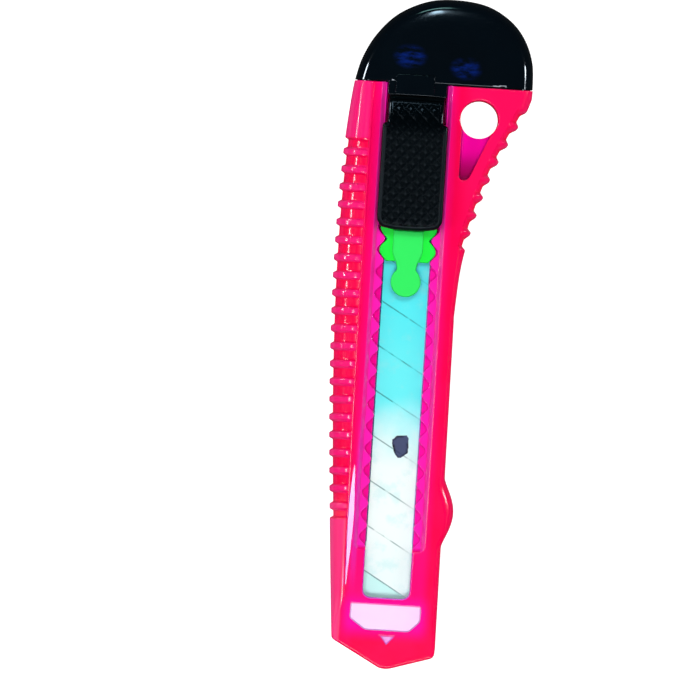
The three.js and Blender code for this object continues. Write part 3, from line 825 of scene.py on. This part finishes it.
# ---- materials ---------------------------------------------------------------------------------
class Nodes:
    """A material with a few short ways to add and link nodes.

    x, y and z are millimetres in the knife's own coordinates, and width is how far a place is from
    the blade's middle line.
    """

    def __init__(self, name):
        self.material = bpy.data.materials.new(name)
        self.material.use_nodes = True
        self.tree = self.material.node_tree
        self.shader = self.tree.nodes["Principled BSDF"]
        self.coordinates = self.tree.nodes.new("ShaderNodeTexCoord")
        place = self.split("Object")
        self.x = self.math("MULTIPLY", self.math("SUBTRACT", place[0], AXIS_X), 1 / MM)
        self.y = self.math("MULTIPLY", self.math("SUBTRACT", place[1], NOSE_Y), 1 / MM)
        self.z = self.math("MULTIPLY", place[2], 1 / MM)
        self.width = self.math("ABSOLUTE", self.x)
        self.normal_z = self.split("Normal")[2]

    def split(self, name):
        node = self.tree.nodes.new("ShaderNodeSeparateXYZ")
        self.tree.links.new(self.coordinates.outputs[name], node.inputs[0])
        return node.outputs

    def constants(self, **values):
        """Sets sockets that are the same all over: specular_ior_level is Specular IOR Level."""
        for name, value in values.items():
            socket = name.replace("_", " ").title().replace("Ior", "IOR")
            self.shader.inputs[socket].default_value = value

    def feed(self, socket, value):
        if isinstance(value, bpy.types.NodeSocket):
            self.tree.links.new(value, socket)
        else:
            socket.default_value = value

    def math(self, operation, a, b=0.0, c=0.0):
        node = self.tree.nodes.new("ShaderNodeMath")
        node.operation = operation
        for socket, value in zip(node.inputs, (a, b, c)):
            self.feed(socket, value)
        return node.outputs[0]

    def product(self, first, *others):
        for other in others:
            first = self.math("MULTIPLY", first, other)
        return first

    def blend(self, value, scale, offset):
        """value times scale, plus offset."""
        return self.math("MULTIPLY_ADD", value, scale, offset)

    def ramp(self, value, low, high):
        """0 where value is low, 1 where it is high."""
        node = self.tree.nodes.new("ShaderNodeMapRange")
        node.interpolation_type = "SMOOTHSTEP"
        self.feed(node.inputs["Value"], value)
        flip = low > high
        node.inputs["From Min"].default_value = high if flip else low
        node.inputs["From Max"].default_value = low if flip else high
        node.inputs["To Min"].default_value = 1 if flip else 0
        node.inputs["To Max"].default_value = 0 if flip else 1
        return node.outputs["Result"]

    def between(self, value, low, high, soft):
        """1 where value lies between low and high, with soft ends."""
        rising = self.ramp(value, low - soft, low + soft)
        falling = self.ramp(value, high + soft, high - soft)
        return self.product(rising, falling)

    def region(self, **limits):
        """1 inside a box that has low, high and softness for some of x, y, z and width."""
        return self.product(*[self.between(getattr(self, name), *limit)
                              for name, limit in limits.items()])

    def wave(self, value, start, pitch):
        """Swings from 1 at start to -1 and back with every pitch."""
        turn = self.product(self.math("SUBTRACT", value, start), 2 * math.pi / pitch)
        return self.math("COSINE", turn)

    def mix(self, share, a, b):
        node = self.tree.nodes.new("ShaderNodeMix")
        node.data_type = "RGBA"
        self.feed(node.inputs[0], share)
        self.feed(node.inputs[6], a)
        self.feed(node.inputs[7], b)
        return node.outputs[2]

    def noise(self, scale, detail=3.0, roughness=0.5, stretch=(1, 1, 1)):
        mapping = self.tree.nodes.new("ShaderNodeMapping")
        mapping.inputs["Scale"].default_value = stretch
        self.tree.links.new(self.coordinates.outputs["Object"], mapping.inputs["Vector"])
        node = self.tree.nodes.new("ShaderNodeTexNoise")
        node.inputs["Scale"].default_value = scale
        node.inputs["Detail"].default_value = detail
        node.inputs["Roughness"].default_value = roughness
        self.tree.links.new(mapping.outputs["Vector"], node.inputs["Vector"])
        return node.outputs["Fac"]

    def bump(self, height, strength, distance):
        node = self.tree.nodes.new("ShaderNodeBump")
        node.inputs["Strength"].default_value = strength
        node.inputs["Distance"].default_value = distance
        self.tree.links.new(height, node.inputs["Height"])
        self.tree.links.new(node.outputs["Normal"], self.shader.inputs["Normal"])

    def colour(self, value):
        self.feed(self.shader.inputs["Base Color"], value)

    def roughness(self, value):
        self.feed(self.shader.inputs["Roughness"], value)


def tint(red, green, blue):
    """A colour given as on a screen, 0 to 255, as the linear one that shaders use."""
    linear = [((c / 255 + 0.055) / 1.055) ** 2.4 if c > 10 else c / 3294 for c in (red, green, blue)]
    return (*linear, 1)


def channel_colour(nodes, base):
    """Painted glow, shade, sheen and highlights round the channel, its rails, teeth and mouth."""
    behind_front = nodes.ramp(nodes.y, 16.4, 16.8)
    # painted light: a magenta glow of bounced light and shade round the channel
    channel = nodes.product(nodes.ramp(nodes.width, 10.6, 8.0), nodes.ramp(nodes.y, 10.0, 17.0),
                            nodes.ramp(nodes.z, 5.5, 6.5), 0.65)
    base = nodes.mix(channel, base, tint(252, 6, 136))
    # painted sheen: lighter magenta on the rail tops and teeth
    rails = nodes.product(nodes.ramp(nodes.width, 8.5, 7.2), nodes.between(nodes.z, 8.2, 10.4, 0.4),
                          behind_front)
    base = nodes.mix(rails, base, tint(255, 30, 180))
    # painted shade: darker magenta on the notch floors, darker still on the spine side
    painted_notch_shade = nodes.product(nodes.ramp(nodes.width, 8.0, 7.6), nodes.between(nodes.z, 8.0, 8.9, 0.4),
                         behind_front)
    belly_half = nodes.ramp(nodes.x, -2, 2)
    base = nodes.mix(painted_notch_shade, base, nodes.mix(belly_half, tint(238, 0, 150), tint(252, 14, 178)))
    # painted shadow on the ledge chamfers beside the blade, and a painted lavender highlight on the
    # lower part of the belly-side chamfer
    chamfer_shadow_and_highlight = nodes.product(nodes.region(width=(5.2, 5.9, 0.1), z=(7.3, 8.17, 0.02)), behind_front)
    belly_highlight_and_shadow = nodes.mix(nodes.ramp(nodes.z, 7.9, 8.0), tint(206, 176, 250), tint(60, 0, 110))
    base = nodes.mix(chamfer_shadow_and_highlight, base, nodes.mix(belly_half, tint(60, 0, 110), belly_highlight_and_shadow))
    # painted highlight: paler pink on the bevel of the channel's mouth
    bevel = nodes.region(width=(7.5, 8.7, 0.1), z=(RAIL_TOP + 0.05, BODY_TOP - 0.05, 0.05))
    bevel = nodes.product(bevel, nodes.ramp(nodes.y, MOUTH_FRONT - 0.6, MOUTH_FRONT))
    return nodes.mix(bevel, base, tint(255, 44, 168))


def side_colour(nodes, base):
    """Painted sheen, shade and glow on the ribs, the belly side, its flare and its notches."""
    face = nodes.ramp(nodes.normal_z, 0.2, 0.85)
    off_face = nodes.math("SUBTRACT", 1.0, face)
    ribbed = nodes.between(nodes.y, SMOOTH_UNTIL, SMOOTH_FROM, 0.3)
    crest = nodes.ramp(nodes.wave(nodes.y, FIRST_RIB, RIB_PITCH), -0.1, 0.5)
    lit = nodes.math("MAXIMUM", crest, nodes.math("SUBTRACT", 1.0, ribbed))
    # painted sheen on the rib crests and on the steep outer band, painted shade on the rib floors
    grazing_sheen = nodes.ramp(face, 0.75, 0.35)
    rib_floor_shade = nodes.mix(grazing_sheen, tint(250, 0, 76), tint(250, 10, 90))
    crests = nodes.mix(grazing_sheen, tint(255, 24, 120), tint(255, 50, 132))
    spine = nodes.ramp(nodes.x, -10.4, -11.4)
    base = nodes.mix(spine, base, nodes.mix(lit, rib_floor_shade, crests))
    # painted shade: darker on the steep belly side
    belly = nodes.product(nodes.ramp(nodes.x, 8.0, 11.0), off_face)
    base = nodes.mix(belly, base, tint(235, 20, 84))
    # painted glow: pinker on the flare near the lanyard pocket
    painted_flare_glow = nodes.product(nodes.ramp(nodes.x, 10.5, 14.0), nodes.ramp(nodes.y, 100.0, 116.0), 0.6)
    base = nodes.mix(painted_flare_glow, base, tint(255, 16, 98))
    last_notch = FIRST_NOTCH + NOTCH_COUNT * NOTCH_PITCH
    # painted shade in the belly notches and painted sheen on their crests
    belly_notch_shade_and_sheen = nodes.product(nodes.between(nodes.y, FIRST_NOTCH, last_notch, 0.3), off_face,
                            nodes.ramp(nodes.x, 11.0, 12.0))
    crest = nodes.ramp(nodes.wave(nodes.y, FIRST_NOTCH + 0.1, NOTCH_PITCH), -0.3, 0.5)
    return nodes.mix(belly_notch_shade_and_sheen, base, nodes.mix(crest, tint(250, 0, 56), tint(246, 36, 104)))


def pocket_colour(nodes, base):
    """Painted magenta shade inside the lanyard pocket, painted darker at its narrow end."""
    slant = nodes.blend(nodes.y, -0.431, nodes.x)
    # painted shade: magenta on the pocket's floor and walls, darker towards its narrow end
    inside = nodes.product(nodes.ramp(nodes.x, 10.5, 10.7), nodes.ramp(slant, -36.7, -37.0),
                           nodes.region(y=(117.2, HOLE.y, 0.2), z=(7.4, 10.4, 0.4)))
    narrow_end_shade = nodes.ramp(nodes.y, 125.5, 119.0)
    return nodes.mix(inside, base, nodes.mix(narrow_end_shade, tint(238, 0, 160), tint(170, 0, 96)))


def nose_colour(nodes, base):
    """Painted glow and highlights on the nose, painted shade on the slot's lip, and the ridge."""
    upper = nodes.ramp(nodes.z, 5.5, 6.5)
    # painted glow: magenta round the nose panel
    painted_glow_patch = nodes.product(nodes.region(width=(-1.0, 9.6, 1.8), y=(8.5, 16.0, 2.6)), upper, 0.85)
    base = nodes.mix(painted_glow_patch, base, tint(255, 0, 180))
    # painted highlight: pale lavender on the panel and arrow
    marks = nodes.region(x=(-8.6, 8.8, 0.1), y=(5.5, 15.6, 0.1),
                         z=(BODY_TOP - 2.1, BODY_TOP - 0.09, 0.06))
    panel = nodes.ramp(nodes.y, 8.2, 8.8)
    base = nodes.mix(marks, base, nodes.mix(panel, tint(204, 104, 208), tint(222, 176, 230)))
    # painted shade: dark purple on the slot's walls, with a painted highlight on its rim, lavender at
    # the front
    lip = nodes.region(x=(-6.2, 6.2, 0.1), y=(16.3, 28, 0.1), z=(7.7, BODY_TOP - 0.03, 0.03))
    lip_rim_highlight = nodes.mix(nodes.ramp(nodes.y, 18.5, 17.2), tint(232, 20, 180), tint(204, 96, 220))
    base = nodes.mix(lip, base, nodes.mix(nodes.ramp(nodes.z, 10.5, 10.8), tint(96, 10, 140), lip_rim_highlight))
    band = nodes.product(nodes.region(x=(-8.9, -7.6, 0.4), y=(22, 58, 6)), upper, 0.4)
    base = nodes.mix(band, base, tint(214, 50, 196))
    facet = nodes.region(x=(-10.5, -8.7, 0.1), y=(19, 49, 0.5), z=(10.2, BODY_TOP - 0.03, 0.02))
    return nodes.mix(facet, base, tint(190, 40, 190))


def handle_material():
    """Bright red plastic, with painted light round the channel and on the grip's ribs."""
    nodes = Nodes("handle_plastic")
    base = nodes.mix(nodes.ramp(nodes.x, -7.0, -9.0), tint(255, 0, 78), tint(255, 0, 90))
    for part_colour in (channel_colour, side_colour, pocket_colour, nose_colour):
        base = part_colour(nodes, base)
    cloud = nodes.noise(90, 2)
    base = nodes.mix(nodes.product(nodes.ramp(cloud, 0.4, 0.7), 0.12), base, tint(255, 0, 120))
    nodes.colour(base)
    grip = nodes.product(nodes.ramp(nodes.x, -10.4, -11.0), nodes.ramp(nodes.y, 42, 37))
    nodes.roughness(nodes.blend(cloud, 0.06, nodes.blend(grip, 0.3, 0.11)))
    nodes.bump(nodes.noise(900, 2), 0.04, 0.0002)
    nodes.constants(specular_ior_level=0.35)
    return nodes.material


def cap_material():
    """Glossy black plastic with a painted blue reflection in two places on its top."""
    nodes = Nodes("cap_plastic")
    base = nodes.mix(nodes.noise(60, 3), tint(1, 5, 10), tint(2, 11, 19))
    reflection_streaks = nodes.ramp(nodes.noise(260, 3, 0.6, (1, 3, 1)), 0.35, 0.7)
    on_top = nodes.ramp(nodes.z, BODY_TOP - 1, BODY_TOP - 0.5)
    # painted reflection: two soft, streaked blue patches on the top
    for middle_x, middle_y, half in ((-2.2, 146, 4.2), (11.2, 143.9, 4.0)):
        dx = nodes.product(nodes.math("SUBTRACT", nodes.x, middle_x), 1 / half)
        dy = nodes.product(nodes.math("SUBTRACT", nodes.y, middle_y), 1.4 / half)
        away = nodes.math("SQRT", nodes.blend(dx, dx, nodes.product(dy, dy)))
        painted_blue_reflection = nodes.product(nodes.ramp(away, 1.1, 0.3), reflection_streaks, on_top)
        base = nodes.mix(painted_blue_reflection, base, tint(8, 34, 112))
    nodes.colour(base)
    nodes.roughness(nodes.blend(nodes.noise(500, 3), 0.05, 0.07))
    nodes.bump(nodes.noise(70, 2), 0.08, 0.0006)
    nodes.constants(specular_ior_level=0.5, specular_tint=(0.8, 0.9, 1.0, 1))
    return nodes.material


def slider_material():
    """Satin black plastic with a fine grain, worn shiny at its rear end."""
    nodes = Nodes("slider_plastic")
    grain = nodes.noise(1400, 3)
    nodes.colour(nodes.mix(nodes.noise(120, 3), tint(1, 4, 7), tint(2, 8, 12)))
    satin = nodes.blend(nodes.ramp(nodes.y, 126, 131), -0.34, 0.4)
    nodes.roughness(nodes.blend(grain, 0.15, satin))
    nodes.bump(grain, 0.1, 0.0001)
    nodes.constants(specular_ior_level=0.2, specular_tint=(0.7, 0.85, 1.0, 1))
    return nodes.material


def lock_material():
    """Bright green, a little paler on the raised tab, with painted shade down the sides."""
    nodes = Nodes("lock_plastic")
    raised = nodes.ramp(nodes.z, RAIL_TOP - 0.4, RAIL_TOP - 0.1)
    base = nodes.mix(raised, tint(20, 240, 60), tint(44, 236, 96))
    # painted shade: dark green on the steep sides below the top
    side = nodes.product(nodes.ramp(nodes.normal_z, 0.7, 0.3),
                         nodes.ramp(nodes.z, RAIL_TOP - 0.2, RAIL_TOP - 0.4))
    base = nodes.mix(side, base, tint(10, 60, 34))
    nodes.colour(nodes.mix(nodes.product(nodes.noise(200, 2), 0.2), base, tint(40, 255, 90)))
    nodes.roughness(nodes.blend(nodes.noise(700, 2), 0.12, 0.32))
    nodes.bump(nodes.noise(900, 2), 0.05, 0.0001)
    nodes.constants(specular_ior_level=0.15)
    return nodes.material


def score_lines(nodes, steel, phase):
    """Broken dark lines in the score grooves, fainter towards the cutting edge."""
    past_line = nodes.math("FLOORED_MODULO", nodes.math("ADD", phase, SEGMENT_PITCH / 2),
                           SEGMENT_PITCH)
    off = nodes.math("ABSOLUTE", nodes.math("SUBTRACT", past_line, SEGMENT_PITCH / 2))
    line = nodes.product(nodes.ramp(off, 0.24, 0.12), nodes.ramp(phase, 5.0, 6.0),
                         nodes.ramp(nodes.noise(330, 2), 0.3, 0.5),
                         nodes.blend(nodes.ramp(nodes.x, 5.0, 1.0), 0.7, 0.3), 0.55)
    return nodes.mix(line, steel, tint(50, 112, 118))


def stain_colour(nodes, steel, smudge):
    """One dark stain with straight sides and a mottled rim."""
    corners = [(-0.9, 2.5), (-1.85, 1.5), (-1.95, 0.6), (-1.3, -1.6), (-0.4, -2.75), (0.5, -2.7),
               (1.85, -1.5), (1.95, 2.1), (1.5, 2.7)]
    dx = nodes.math("SUBTRACT", nodes.x, 1.15)
    dx = nodes.math("ADD", dx, nodes.blend(nodes.noise(800, 2), 0.6, -0.3))
    dy = nodes.math("SUBTRACT", nodes.y, 53.1)
    outside = -1.0
    for here, following in zip(corners, corners[1:] + corners[:1]):
        out = Vector((following[1] - here[1], here[0] - following[0])).normalized()
        distance = nodes.blend(dx, out.x, nodes.blend(dy, out.y, -out.dot(Vector(here))))
        outside = nodes.math("MAXIMUM", outside, distance)
    rim = nodes.product(nodes.ramp(outside, -0.75, -0.2), nodes.ramp(smudge, 0.35, 0.6))
    spot = nodes.mix(rim, tint(58, 68, 104), tint(10, 20, 38))
    return nodes.mix(nodes.ramp(outside, 0.08, -0.06), steel, spot)


def blade_material():
    """Ground steel: cyan towards the lock, nearly white towards the nose, with one dark stain."""
    nodes = Nodes("blade_steel")
    drift = nodes.math("ADD", nodes.y, nodes.blend(nodes.noise(90, 3), 14.0, -7.0))
    scratches = nodes.noise(60, 5, 0.7, (1, 16, 1))
    smudge = nodes.noise(220, 4, 0.6)
    steel = nodes.mix(nodes.ramp(drift, 68.0, 88.0), tint(98, 236, 240), tint(78, 232, 238))
    steel = nodes.mix(nodes.ramp(drift, 66.0, 47.0), steel, tint(232, 247, 244))
    steel = nodes.mix(nodes.product(nodes.ramp(smudge, 0.5, 0.7), 0.25), steel, tint(150, 226, 226))
    slope = math.tan(SCORE_ANGLE)
    along_blade = nodes.blend(nodes.x, slope, nodes.y)
    phase = nodes.math("SUBTRACT", along_blade, BLADE_POINT + BLADE_HALF * slope)
    point_segment = nodes.ramp(phase, SEGMENT_PITCH + 0.1, SEGMENT_PITCH - 0.1)
    steel = nodes.mix(point_segment, steel, tint(196, 242, 236))
    steel = score_lines(nodes, steel, phase)
    nodes.colour(stain_colour(nodes, steel, smudge))
    nodes.roughness(nodes.blend(scratches, 0.3, 0.25))
    nodes.bump(scratches, 0.12, 0.00005)
    nodes.constants(metallic=0.12, specular_ior_level=0.3)
    return nodes.material


def floor_material():
    """A pale surface that glows, as a light table does, so that it shows no shadow."""
    nodes = Nodes("floor")
    nodes.colour(nodes.mix(nodes.noise(8, 2), tint(150, 150, 150), tint(154, 154, 154)))
    nodes.roughness(0.7)
    nodes.constants(emission_color=(1, 1, 1, 1), emission_strength=1.0)
    return nodes.material


# ---- floor, lights and camera ------------------------------------------------------------------
KNIFE_CENTRE = TO_FRAME @ Vector((5, 80, 5))
VIEW_CENTRE = TO_FRAME @ Vector((-12.2, 75.3, 5.5))
VIEW_WIDTH = 0.1671                  # of the knife's plane, m
CAMERA_DISTANCE = 2.4
LEAN = math.radians(3.6)             # how far the camera is turned about its own axis


def make_floor():
    size = 3.0
    z = cad_bounds[0][2] - 0.00005
    corners = [(-size, -size, z), (size, -size, z), (size, size, z), (-size, size, z)]
    floor = mesh_object("floor", corners, [(0, 1, 2, 3)])
    floor.data.materials.append(floor_material())
    floor.visible_glossy = False


def make_light(name, place, size, power, colour=(1, 1, 1)):
    data = bpy.data.lights.new(name, "AREA")
    data.shape = "RECTANGLE"
    data.size, data.size_y = size
    data.energy = power
    data.color = colour
    light = bpy.data.objects.new(name, data)
    light.location = Vector(place)
    light.rotation_euler = (KNIFE_CENTRE - light.location).to_track_quat("-Z", "Y").to_euler()
    bpy.context.scene.collection.objects.link(light)
    return light


def make_lights():
    """A broad main light, soft fills that leave no glare, and strips that draw the highlights."""
    make_light("main", (-0.04, -0.32, 0.85), (0.40, 0.25), 3.7)
    fills = [
        make_light("fill_rear", (0.04, 0.40, 0.85), (0.40, 0.25), 3.7),
        make_light("fill_left", (-0.50, 0.0, 0.40), (0.40, 0.30), 0.9),
        make_light("fill_right", (0.50, 0.0, 0.45), (0.40, 0.30), 0.9),
    ]
    for fill in fills:
        fill.visible_glossy = False
    strips = [
        make_light("ridge_strip", (-0.30, -0.055, 0.75), (0.10, 0.07), 0.9),
        make_light("left_strip", (-0.60, 0.045, 0.17), (0.08, 0.03), 0.45),
        make_light("cap_left_strip", (-0.55, 0.21, 0.28), (0.08, 0.14), 1.4),
        make_light("cap_right_strip", (0.45, 0.12, 0.22), (0.06, 0.10), 0.8),
        make_light("cap_rear_strip", (-0.09, 0.52, 0.36), (0.18, 0.06), 0.45, (0.5, 1.0, 0.85)),
        make_light("slider_strip", (-0.05, 0.40, 0.85), (0.05, 0.12), 0.5, (0.7, 0.9, 1.0)),
    ]
    for strip in strips:
        strip.visible_diffuse = False
    world = bpy.data.worlds.new("studio")
    world.use_nodes = True
    background = world.node_tree.nodes["Background"]
    background.inputs["Color"].default_value = (1, 1, 1, 1)
    background.inputs["Strength"].default_value = 0.03
    bpy.context.scene.world = world


def make_camera():
    data = bpy.data.cameras.new("camera")
    data.lens = data.sensor_width * CAMERA_DISTANCE / VIEW_WIDTH
    data.clip_start = 0.01
    data.clip_end = 20
    camera = bpy.data.objects.new("camera", data)
    camera.location = VIEW_CENTRE + Vector((0, 0, CAMERA_DISTANCE))
    camera.rotation_euler = (0, 0, LEAN)
    bpy.context.scene.collection.objects.link(camera)
    bpy.context.scene.camera = camera


make_camera()
make_lights()
make_floor()
make_handle(handle_material())
make_cap(cap_material())
make_slider(slider_material())
make_lock(lock_material())
make_blade(blade_material())
bpy.context.scene.view_settings.view_transform = "Standard"
